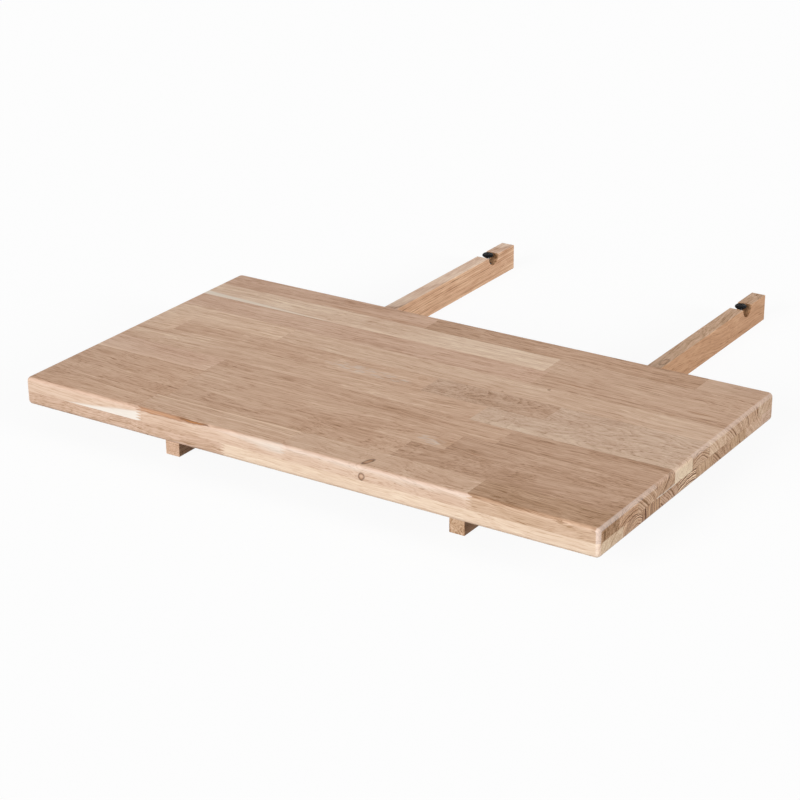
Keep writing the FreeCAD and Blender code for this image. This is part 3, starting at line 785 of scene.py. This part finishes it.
for side, look in BAR_LOOKS.items():
    node = side + "_bar"
    low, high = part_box(node)
    middle = on_bar((low + high) / 2)
    planed = stave_marks(middle, edge_wear_and_light=(0.0, 0.0, 0.0), **look)
    tone, straw, wild = planed["tone"]
    # The drilled faces are darker by their cut grain and by painted shade in the notch
    drilled = dict(planed, tone=(tone + DRILLED_AND_SHADED_DARKER, 1.0, wild), faces=(0.0, 0.0, 0.0))
    bar = copy_node(side + "_support_bar", node,
                    lambda polygon: cut_of(polygon, low, high), (planed, drilled))
    bar.data.materials.append(oak_bar)
    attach(bar, "leaf")
    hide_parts(node)
    print(bar.name, len(bar.data.polygons), "faces")

# %% [markdown]
# The hardware is black moulded plastic and zinc-plated steel. The plastic has the fine grain of its mould.
# Zinc plating is bright but a little cloudy, and handling makes it rougher in patches.

# %% Plastic and steel
PLASTIC_BLACK = "#050506"
PLASTIC_SHEEN = "#0B0B0D"
ZINC_PALE = "#C9CBCC"
ZINC_CLOUDY = "#A9ACAE"


def make_cloudy(name, colours, roughness, metallic, specular, cloud_size, grain_size, grain_depth):
    """A hard surface with soft patches of two colours and a fine grain. Sizes are in metres."""
    material, put = new_material(name)
    place = put("ShaderNodeTexCoord")
    patches = put(NOISE, {"Vector": (place, "Object"), "Scale": 1 / cloud_size, "Detail": 3.0})
    colour = put(RAMP, [patches])
    set_ramp(colour, [(0.35, linear(colours[0])), (0.65, linear(colours[1]))])
    rough = put(RANGE, [patches, 0.3, 0.7, roughness[0], roughness[1]])
    grain = put(NOISE, {"Vector": (place, "Object"), "Scale": 1 / grain_size, "Detail": 2.0})
    bump = put("ShaderNodeBump", {"Height": grain, "Strength": 0.5, "Distance": grain_depth})
    surface = put("ShaderNodeBsdfPrincipled", {
        "Base Color": colour, "Roughness": rough, "Metallic": metallic, "Normal": bump,
        "Specular IOR Level": specular,
    })
    put("ShaderNodeOutputMaterial", {"Surface": surface})
    return material


# Moulded plastic: satin black, with the sparked grain of the mould
black_plastic = make_cloudy("black_plastic_moulded", (PLASTIC_BLACK, PLASTIC_SHEEN), (0.36, 0.46), 0.0,
                            0.10, 4 * MM, 0.25 * MM, 0.02 * MM)
# Zinc-plated steel: pale grey metal with cloudy patches
zinc_steel = make_cloudy("steel_zinc_plated", (ZINC_PALE, ZINC_CLOUDY), (0.26, 0.40), 1.0,
                         0.5, 2.5 * MM, 0.3 * MM, 0.008 * MM)
print("hardware materials:", black_plastic.name, zinc_steel.name)

# %% [markdown]
# Screws, heads and washers are round, so each starts as an outline of radius and height that is spun
# about its axis, as on a lathe. The outline's corners are softened first, because moulded and plated rims
# are never sharp and their small curves catch the light.

# %% Outlines and spinning
SPIN_STEPS = 96
CURVE_STEPS = 4


def soften(corners, size):
    """The outline with every corner between its ends replaced by a small curve. Sizes are in millimetres."""
    corners = [Vector(corner) for corner in corners]
    outline = [corners[0]]
    for before, corner, after in zip(corners, corners[1:], corners[2:]):
        start = corner + (before - corner) * min(0.5, size / (before - corner).length)
        end = corner + (after - corner) * min(0.5, size / (after - corner).length)
        for step in range(CURVE_STEPS + 1):
            share = step / CURVE_STEPS
            outline.append(start.lerp(corner, share).lerp(corner.lerp(end, share), share))
    return outline + [corners[-1]]


def spin(name, outline, closed=False):
    """Mesh of an outline spun about Z. The outline runs with the solid on its left."""
    points, rings, faces = [], [], []
    for radius, height in outline:
        first = len(points)
        steps = SPIN_STEPS if radius > 0 else 1
        for step in range(steps):
            angle = 2 * math.pi * step / steps
            points.append((radius * MM * math.cos(angle), radius * MM * math.sin(angle), height * MM))
        rings.append([first + step % steps for step in range(SPIN_STEPS)])
    pairs = list(zip(rings, rings[1:]))
    if closed:
        pairs.append((rings[-1], rings[0]))
    for low, high in pairs:
        for step in range(SPIN_STEPS):
            after = (step + 1) % SPIN_STEPS
            face = list(dict.fromkeys((low[step], low[after], high[after], high[step])))
            if len(face) > 2:
                faces.append(face)
    mesh = bpy.data.meshes.new(name)
    mesh.from_pydata(points, [], faces)
    return mesh


print("lathe ready:", SPIN_STEPS, "steps round")

# %% [markdown]
# Grips, threads and rows of screws repeat by a rule, so they are made with Geometry Nodes. Each tree is
# built once, with named inputs, and run on a mesh. What comes out is kept as a plain mesh.

# %% Build and run a node tree
HARD_ABOVE = math.radians(35)
SOCKETS = {float: "NodeSocketFloat", int: "NodeSocketInt", tuple: "NodeSocketVector",
           bpy.types.Object: "NodeSocketObject", bpy.types.Material: "NodeSocketMaterial"}


def new_tree(name, inputs):
    """Geometry Nodes tree with named inputs, each with its kind, and a material.

    Gives the tree, the node that its inputs come from, and the helper that adds nodes to it.
    """
    tree = bpy.data.node_groups.new(name, "GeometryNodeTree")
    tree.interface.new_socket("Geometry", in_out="OUTPUT", socket_type="NodeSocketGeometry")
    tree.interface.new_socket("Geometry", in_out="INPUT", socket_type="NodeSocketGeometry")
    for label, kind in {**inputs, "Material": bpy.types.Material}.items():
        tree.interface.new_socket(label, in_out="INPUT", socket_type=SOCKETS[kind])
    return tree, tree.nodes.new("NodeGroupInput"), partial(add, tree)


def close_tree(put, geometry, given):
    """The last steps of every tree: real geometry, with its material."""
    real = put("GeometryNodeRealizeInstances", [geometry])
    dressed = put("GeometryNodeSetMaterial", {"Geometry": real, "Material": (given, "Material")})
    put("NodeGroupOutput", [dressed])


def run_trees(name, mesh, material, *steps):
    """Object that holds what one tree after another makes of a mesh, as a plain smooth-shaded mesh.

    Each step is a tree and its values. A float among them is a length in millimetres.
    """
    piece = new_object(name, mesh)
    for tree, values in steps:
        modifier = piece.modifiers.new(tree.name, "NODES")
        modifier.node_group = tree
        for item in tree.interface.items_tree:
            value = {**values, "Material": material}.get(item.name)
            if item.in_out == "INPUT" and value is not None:
                modifier[item.identifier] = value * MM if isinstance(value, float) else value
    bpy.context.view_layer.update()
    made = piece.evaluated_get(bpy.context.evaluated_depsgraph_get())
    made = bpy.data.meshes.new_from_object(made)
    piece.modifiers.clear()
    piece.data = made
    made.name = name
    made.shade_smooth()
    made.set_sharp_from_angle(angle=HARD_ABOVE)
    return piece


print("node tree helpers ready")

# %% [markdown]
# The head of a levelling screw is a moulded disc that is turned by hand or with a screwdriver. It thins
# out towards its edge, above and below. Its top has a raised rim and a hub with a cross recess, and 24
# scallops round the edge give a grip. The disc is spun. The scallops are cylinders set round a circle,
# and they are cut away together with the two bars of the cross.

# %% Levelling heads
HEAD_RADIUS = 9.0
HEAD_HEIGHT = 6.0
# Radius and height, from the socket for the stud, round the edge and up to the hub
HEAD_OUTLINE = soften((
    (0, 3), (3.05, 3), (3.05, 0), (HEAD_RADIUS - 3, 0), (HEAD_RADIUS, 2.4), (HEAD_RADIUS, HEAD_HEIGHT - 1.8),
    (HEAD_RADIUS - 1.8, HEAD_HEIGHT), (5.8, HEAD_HEIGHT), (5.8, 5.3), (4, 5.3), (4, HEAD_HEIGHT),
    (0, HEAD_HEIGHT),
), size=0.5)
GRIPS = 24
GRIP_RADIUS = 0.9
GRIP_DEPTH = 0.45
CROSS_SPAN = 6.0
CROSS_WIDTH = 1.6
CROSS_DEPTH = 1.2

grip_tree, given, put = new_tree("grips_round_a_rim", {
    "Grips": int, "Grip Circle": float, "Grip Radius": float, "Grip Length": float,
})
circle = put("GeometryNodeMeshCircle", {"Vertices": (given, "Grips"), "Radius": (given, "Grip Circle")})
grip = put("GeometryNodeMeshCylinder", {
    "Vertices": 32, "Radius": (given, "Grip Radius"), "Depth": (given, "Grip Length"),
})
grips = put("GeometryNodeInstanceOnPoints", {"Points": circle, "Instance": grip})
grips = put("GeometryNodeRealizeInstances", [grips])
cut = put("GeometryNodeMeshBoolean", {"Mesh 1": (given, "Geometry"), "Mesh 2": grips},
          "DIFFERENCE", solver="EXACT")
close_tree(put, cut, given)

cross_tree, given, put = new_tree("cross_recess", {
    "Height": float, "Span": float, "Width": float, "Depth": float,
})
face_height = put(JOIN, {"Z": (given, "Height")})
tall = put(MATH, [(given, "Depth"), 2.0], "MULTIPLY")
cut = (given, "Geometry")
for long_side, short_side in (("X", "Y"), ("Y", "X")):
    size = put(JOIN, {long_side: (given, "Span"), short_side: (given, "Width"), "Z": tall})
    arm = put("GeometryNodeMeshCube", {"Size": size})
    arm = put("GeometryNodeTransform", {"Geometry": arm, "Translation": face_height})
    cut = put("GeometryNodeMeshBoolean", {"Mesh 1": cut, "Mesh 2": arm}, "DIFFERENCE", solver="EXACT")
close_tree(put, cut, given)

for side in SIDES:
    node = side + "_levelling_head"
    low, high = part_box(node)
    disc = spin(node + "_disc", HEAD_OUTLINE)
    head = run_trees(side + "_grip_head", disc, black_plastic, (grip_tree, {
        "Grips": GRIPS, "Grip Circle": HEAD_RADIUS + GRIP_RADIUS - GRIP_DEPTH, "Grip Radius": GRIP_RADIUS,
        "Grip Length": 3 * HEAD_HEIGHT,
    }), (cross_tree, {
        "Height": HEAD_HEIGHT, "Span": CROSS_SPAN, "Width": CROSS_WIDTH, "Depth": CROSS_DEPTH,
    }))
    head.data.transform(Matrix.Translation(((low.x + high.x) / 2, (low.y + high.y) / 2, low.z)))
    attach(head, side + "_head")
    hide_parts(node)
    print(head.name, len(head.data.polygons), "faces")

# %% [markdown]
# A rolled thread is a ridge that climbs round a core, one pitch each turn. The tree sweeps a small
# diamond along a spiral and joins it to the core. The crest stays inside the thread's nominal size, as in
# the CAD model.

# %% Thread tree and levelling studs
thread_tree, given, put = new_tree("rolled_thread", {
    "Foot": float, "Length": float, "Pitch": float, "Crest": float, "Depth": float,
})
turns = put(MATH, [(given, "Length"), (given, "Pitch")], "DIVIDE")
middle_radius = put(MATH, [(given, "Crest"), (given, "Depth")], "SUBTRACT")
spiral = put("GeometryNodeCurveSpiral", {
    "Resolution": 28, "Rotations": turns, "Start Radius": middle_radius, "End Radius": middle_radius,
    "Height": (given, "Length"),
})
upright = put("GeometryNodeSetCurveNormal", {"Curve": spiral}, mode="Z_UP")
diamond = put("GeometryNodeCurvePrimitiveCircle", {"Resolution": 4, "Radius": (given, "Depth")})
ridge = put("GeometryNodeCurveToMesh", {"Curve": upright, "Profile Curve": diamond, "Fill Caps": True})
foot = put(JOIN, {"Z": (given, "Foot")})
ridge = put("GeometryNodeTransform", {"Geometry": ridge, "Translation": foot})
joined = put("GeometryNodeJoinGeometry", [(given, "Geometry")])
thread_tree.links.new(ridge.outputs[0], joined.inputs[0])
close_tree(put, joined, given)

STUD_RADIUS = 3.0
STUD_CORE = 2.42
STUD_TIP = 1.8
STUD_TIP_HEIGHT = 0.8
STUD_PITCH = 1.0
STUD_THREAD = 0.48
STUD_PLAIN_END = 1.0
for side in SIDES:
    node = side + "_levelling_stud"
    low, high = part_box(node)
    length = (high.z - low.z) / MM
    core = spin(node + "_core", soften((
        (0, 0), (STUD_TIP, 0), (STUD_CORE, STUD_TIP_HEIGHT), (STUD_CORE, length), (0, length),
    ), size=0.25))
    stud = run_trees(side + "_threaded_stud", core, zinc_steel, (thread_tree, {
        "Foot": STUD_PLAIN_END, "Length": length - 2 * STUD_PLAIN_END, "Pitch": STUD_PITCH,
        "Crest": STUD_RADIUS, "Depth": STUD_THREAD,
    }))
    stud.data.transform(Matrix.Translation(((low.x + high.x) / 2, (low.y + high.y) / 2, low.z)))
    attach(stud, side + "_stud")
    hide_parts(node)
    print(stud.name, len(stud.data.polygons), "faces")

# %% [markdown]
# Each bar hangs on three wood screws with washers, set in counterbored holes from below. One screw and
# one washer are made, and a row tree sets three of each along the bar. The outer two sit in slots, so
# that the leaf can swell.

# %% Wood screws and washers
row_tree, given, put = new_tree("row_of_fasteners", {
    "Fastener": bpy.types.Object, "Count": int, "First": tuple, "Step": tuple,
})
line = put("GeometryNodeMeshLine", {
    "Count": (given, "Count"), "Start Location": (given, "First"), "Offset": (given, "Step"),
})
fastener = put("GeometryNodeObjectInfo", {"Object": (given, "Fastener")})
placed = put("GeometryNodeInstanceOnPoints", {"Points": line, "Instance": (fastener, "Geometry")})
close_tree(put, placed, given)

SCREWS = 3
SCREW_HEAD = 4.75
SCREW_HEIGHT = 3.4
SCREW_LENGTH = 45.0
SCREW_CORE = 1.7
SCREW_CREST = 2.5
SCREW_TIP = 5.0
SCREW_SHANK = 13.0
THREAD_FOOT = SCREW_SHANK + 1.0
SCREW_PITCH = 2.2
SCREW_THREAD = 0.75
DRIVE_SPAN = 4.6
DRIVE_WIDTH = 0.9
DRIVE_DEPTH = 1.7
WASHER_HOLE = 2.6
WASHER_RADIUS = 6.0
WASHER_BEVEL = 0.2
WASHER_HEIGHT = 1.0
screw_turned = spin("wood_screw_turned", soften((
    (0, SCREW_LENGTH), (SCREW_CORE, SCREW_LENGTH - SCREW_TIP), (SCREW_CORE, THREAD_FOOT),
    (SCREW_CREST, SCREW_SHANK), (SCREW_CREST, 0), (SCREW_HEAD, 0), (SCREW_HEAD, -SCREW_HEIGHT / 2),
    (SCREW_HEAD / 2, -SCREW_HEIGHT), (0, -SCREW_HEIGHT),
)[::-1], size=0.6))
screw = run_trees("wood_screw", screw_turned, zinc_steel, (cross_tree, {
    "Height": -SCREW_HEIGHT, "Span": DRIVE_SPAN, "Width": DRIVE_WIDTH, "Depth": DRIVE_DEPTH,
}), (thread_tree, {
    "Foot": THREAD_FOOT, "Length": SCREW_LENGTH - SCREW_TIP - THREAD_FOOT, "Pitch": SCREW_PITCH,
    "Crest": SCREW_CREST, "Depth": SCREW_THREAD,
}))
washer = new_object("washer", spin("washer_stamped", soften((
    (WASHER_HOLE, 0.0), (WASHER_RADIUS - WASHER_BEVEL, 0.0), (WASHER_RADIUS, WASHER_BEVEL),
    (WASHER_RADIUS, WASHER_HEIGHT - WASHER_BEVEL), (WASHER_RADIUS - WASHER_BEVEL, WASHER_HEIGHT),
    (WASHER_HOLE, WASHER_HEIGHT),
), size=0.15), closed=True))

for side in SIDES:
    low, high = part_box(side + "_bar_screws")
    washers_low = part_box(side + "_bar_washers")[0]
    middle = (low.x + high.x) / 2
    first = low.y + SCREW_HEAD * MM
    step = (high.y - low.y - 2 * SCREW_HEAD * MM) / (SCREWS - 1)
    rows = (
        ("screws", screw, low.z + SCREW_HEIGHT * MM),
        ("washers", washer, washers_low.z),
    )
    for kind, template, height in rows:
        node = f"{side}_bar_{kind}"
        empty = bpy.data.meshes.new(node + "_row")
        piece = run_trees(f"{side}_row_of_{kind}", empty, zinc_steel, (row_tree, {
            "Fastener": template, "Count": SCREWS, "First": (middle, first, height), "Step": (0.0, step, 0.0),
        }))
        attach(piece, "leaf")
        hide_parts(node)
        print(piece.name, len(piece.data.polygons), "faces")
    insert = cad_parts[side + "_threaded_insert"]
    for slot in insert.material_slots:
        slot.material = zinc_steel

for template in (screw, washer):
    bpy.data.objects.remove(template)

# %% [markdown]
# The floor is plain and pale, under soft studio light. To the camera and in reflections it is lifted most
# of the way to white, as the background in the photograph, and what is left of its own shade keeps the
# shadow. From below it lets the camera through, so that the underside can be looked at.

# %% Floor and light
FLOOR_SEEN = "#F8F8F8"
FLOOR_BOUNCE = "#8C8D8E"
FLOOR_LIFT = 0.92
FLOOR_HALF = 9.0
SKY_LEVEL = 0.28
LAMPS = {
    # direction it shines from, light on a surface that faces it (1 shows a colour as written), angle across
    "key_front": (Vector((-0.10, -0.95, 0.28)), 1.21, 32),
    "fill_right": (Vector((0.95, 0.00, 0.30)), 0.64, 20),
}


def seen_directly(put):
    """1 for what the camera sees, straight or by reflection or through glass, and 0 for light."""
    path = put("ShaderNodeLightPath")
    most = (path, "Is Camera Ray")
    for ray in ("Is Glossy Ray", "Is Transmission Ray"):
        most = put(MATH, [most, (path, ray)], "MAXIMUM")
    return most


floor_material, put = new_material("pale_studio_floor")
seen = seen_directly(put)
paint = put(MIX, {0: seen, 6: linear(FLOOR_BOUNCE), 7: linear(FLOOR_SEEN)}, **RGBA)
shaded = put("ShaderNodeBsdfDiffuse", {"Color": paint})
white = put("ShaderNodeEmission", {"Color": (1, 1, 1, 1), "Strength": 1.0})
lift = put(MATH, [seen, FLOOR_LIFT], "MULTIPLY")
pale = put("ShaderNodeMixShader", [lift, shaded, white])
below = put("ShaderNodeNewGeometry")
clear = put("ShaderNodeBsdfTransparent")
both = put("ShaderNodeMixShader", [(below, "Backfacing"), pale, clear])
put("ShaderNodeOutputMaterial", {"Surface": both})

corners = [(x * FLOOR_HALF, y * FLOOR_HALF, 0.0) for x, y in ((-1, -1), (1, -1), (1, 1), (-1, 1))]
floor_mesh = bpy.data.meshes.new("studio_floor")
floor_mesh.from_pydata(corners, [], [(0, 1, 2, 3)])
floor_mesh.materials.append(floor_material)
floor = new_object("studio_floor", floor_mesh)
floor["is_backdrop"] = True

world = bpy.data.worlds.new("studio")
world.use_nodes = True
world.node_tree.nodes.clear()
put = partial(add, world.node_tree)
soft = put("ShaderNodeBackground", {"Color": (1, 1, 1, 1), "Strength": SKY_LEVEL})
plain = put("ShaderNodeBackground", {"Color": (1, 1, 1, 1), "Strength": 1.0})
sky = put("ShaderNodeMixShader", [seen_directly(put), soft, plain])
put("ShaderNodeOutputWorld", {"Surface": sky})
bpy.context.scene.world = world

for name, (way, level, width) in LAMPS.items():
    lamp = new_object(name, bpy.data.lights.new(name, "SUN"))
    lamp.data.energy = level * math.pi
    lamp.data.angle = math.radians(width)
    lamp.rotation_mode = "QUATERNION"
    lamp.rotation_quaternion = way.to_track_quat("Z", "Y")
bpy.context.scene.view_settings.view_transform = "Standard"
print("light: sky", SKY_LEVEL, "and", len(LAMPS), "lamps")

# %% [markdown]
# Last, the dressed model's box is measured, without the floor, since dressing is not meant to change the
# size.

# %% Sizes
low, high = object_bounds()
